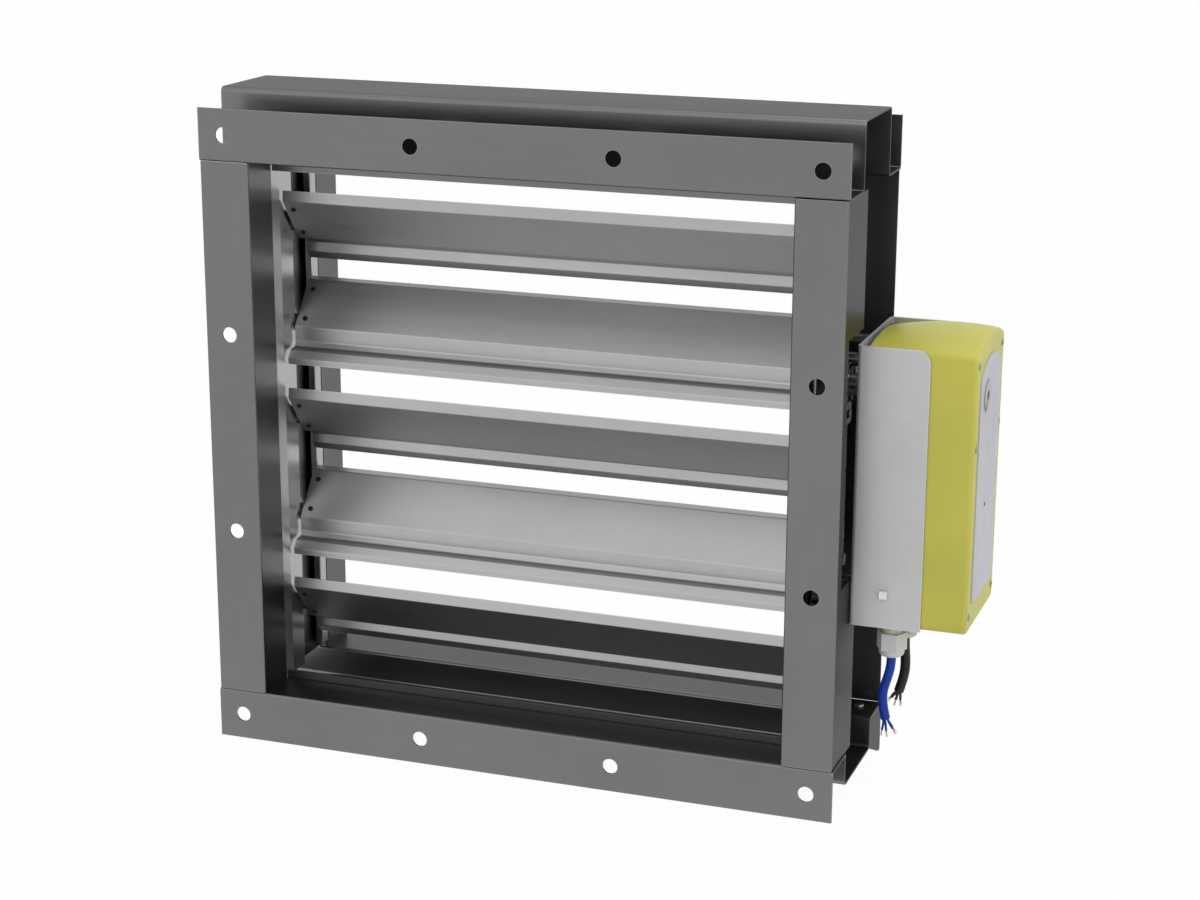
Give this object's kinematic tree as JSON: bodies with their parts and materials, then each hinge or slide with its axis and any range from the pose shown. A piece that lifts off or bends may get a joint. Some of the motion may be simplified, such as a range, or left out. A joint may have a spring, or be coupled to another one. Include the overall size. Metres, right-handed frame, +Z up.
{
  "type": "fire damper",
  "caption": "Square flanged fire damper with opposed folded blades, outside linkage and a side-mounted actuator with two cable glands.",
  "frame": {"origin": "centre of the opening on the front flange face", "axes": "+X towards the actuator side, +Y along the airflow to the rear flange, +Z up"},
  "size_m": [0.5874, 0.152, 0.511],
  "materials": {
    "galvanised_sheet": "satin",
    "blade_sheet": "satin",
    "zinc_plated_steel": "satin",
    "spring_steel": "satin",
    "bracket_plate": "satin",
    "bush_brass": "satin",
    "base_plastic": "matte",
    "yellow_plastic": "matte",
    "panel_plastic": "matte",
    "dial_plastic": "matte",
    "gearbox_alloy": "satin",
    "motor_steel": "satin",
    "gland_plastic": "matte",
    "blue_sheath": "satin",
    "black_sheath": "matte",
    "core_blue": "satin",
    "core_dark": "satin",
    "copper": "bright"
  },
  "bodies": {
    "frame": {"top_channel": "galvanised_sheet", "bottom_channel": "galvanised_sheet", "left_channel": "galvanised_sheet", "right_channel": "galvanised_sheet", "corner_gusset": "galvanised_sheet", "corner_rivet": "zinc_plated_steel", "top_stop": "galvanised_sheet", "bottom_stop": "galvanised_sheet", "left_seals": "spring_steel", "right_seals": "spring_steel", "bearing_bushes": "bush_brass", "actuator_bracket": "bracket_plate", "bracket_spacers": "zinc_plated_steel", "bracket_screws": "zinc_plated_steel", "actuator_base": "base_plastic", "actuator_cover": "yellow_plastic", "cover_screws": "zinc_plated_steel", "cover_posts": "base_plastic", "face_panel": "panel_plastic", "gearbox": "gearbox_alloy", "motor": "motor_steel", "square_pin": "zinc_plated_steel", "gland_bodies": "gland_plastic", "gland_nuts": "gland_plastic", "blue_cable": "blue_sheath", "black_cable": "black_sheath", "blue_cores": "core_blue", "black_cores": "core_dark", "copper_ends": "copper"},
    "blade_1_body": {"blade_1": "blade_sheet", "stub_axles_1": "zinc_plated_steel", "blade_rivets_1": "zinc_plated_steel", "lever_1": "zinc_plated_steel"},
    "blade_2_body": {"blade_2": "blade_sheet", "stub_axles_2": "zinc_plated_steel", "blade_rivets_2": "zinc_plated_steel", "lever_2": "zinc_plated_steel"},
    "blade_3_body": {"blade_3": "blade_sheet", "stub_axles_3": "zinc_plated_steel", "blade_rivets_3": "zinc_plated_steel", "lever_3": "zinc_plated_steel"},
    "blade_4_body": {"blade_4": "blade_sheet", "stub_axles_4": "zinc_plated_steel", "blade_rivets_4": "zinc_plated_steel", "lever_4": "zinc_plated_steel"},
    "blade_5_body": {"blade_5": "blade_sheet", "stub_axles_5": "zinc_plated_steel", "blade_rivets_5": "zinc_plated_steel", "lever_5": "zinc_plated_steel"},
    "drive_body": {"drive_crank": "zinc_plated_steel", "drive_spindle": "zinc_plated_steel", "coupling_sleeve": "zinc_plated_steel", "sleeve_screws": "zinc_plated_steel", "position_dial": "dial_plastic"},
    "odd_bar_body": {"odd_tie_bar": "zinc_plated_steel", "slotted_arm": "zinc_plated_steel"},
    "even_bar_body": {"even_tie_bar": "zinc_plated_steel"}
  },
  "joints": [
    {"name": "blade_2_turn", "type": "hinge", "parent": "frame", "child": "blade_2_body", "pos_m": [0, 0.077, 0.0747], "axis": [-1, 0, 0], "range_deg": [-38, 52]},
    {"name": "blade_1_turn", "type": "hinge", "parent": "frame", "child": "blade_1_body", "pos_m": [0, 0.077, 0.1524], "axis": [1, 0, 0], "range_deg": [-38, 52]},
    {"name": "blade_3_turn", "type": "hinge", "parent": "frame", "child": "blade_3_body", "pos_m": [0, 0.077, -0.003], "axis": [1, 0, 0], "range_deg": [-38, 52]},
    {"name": "blade_4_turn", "type": "hinge", "parent": "frame", "child": "blade_4_body", "pos_m": [0, 0.077, -0.0807], "axis": [-1, 0, 0], "range_deg": [-38, 52]},
    {"name": "blade_5_turn", "type": "hinge", "parent": "frame", "child": "blade_5_body", "pos_m": [0, 0.077, -0.1584], "axis": [1, 0, 0], "range_deg": [-38, 52]},
    {"name": "odd_bar_pivot", "type": "hinge", "parent": "blade_3_body", "child": "odd_bar_body", "pos_m": [0.2274, 0.05715, -0.00056], "axis": [-1, 0, 0], "range_deg": [-38, 52]},
    {"name": "even_bar_pivot", "type": "hinge", "parent": "blade_2_body", "child": "even_bar_body", "pos_m": [0.2269, 0.09685, 0.07714], "axis": [1, 0, 0], "range_deg": [-38, 52]},
    {"name": "spindle_turn", "type": "hinge", "parent": "frame", "child": "drive_body", "pos_m": [0.25, 0.077, 0.063], "axis": [-1, 0, 0], "range_deg": [-38, 52]}
  ],
  "couplings": [
    {"joint": "blade_1_turn", "follows": "blade_2_turn", "ratio": 1},
    {"joint": "blade_3_turn", "follows": "blade_2_turn", "ratio": 1},
    {"joint": "blade_4_turn", "follows": "blade_2_turn", "ratio": 1},
    {"joint": "blade_5_turn", "follows": "blade_2_turn", "ratio": 1},
    {"joint": "odd_bar_pivot", "follows": "blade_2_turn", "ratio": 1},
    {"joint": "even_bar_pivot", "follows": "blade_2_turn", "ratio": 1},
    {"joint": "spindle_turn", "follows": "blade_2_turn", "ratio": 1}
  ]
}
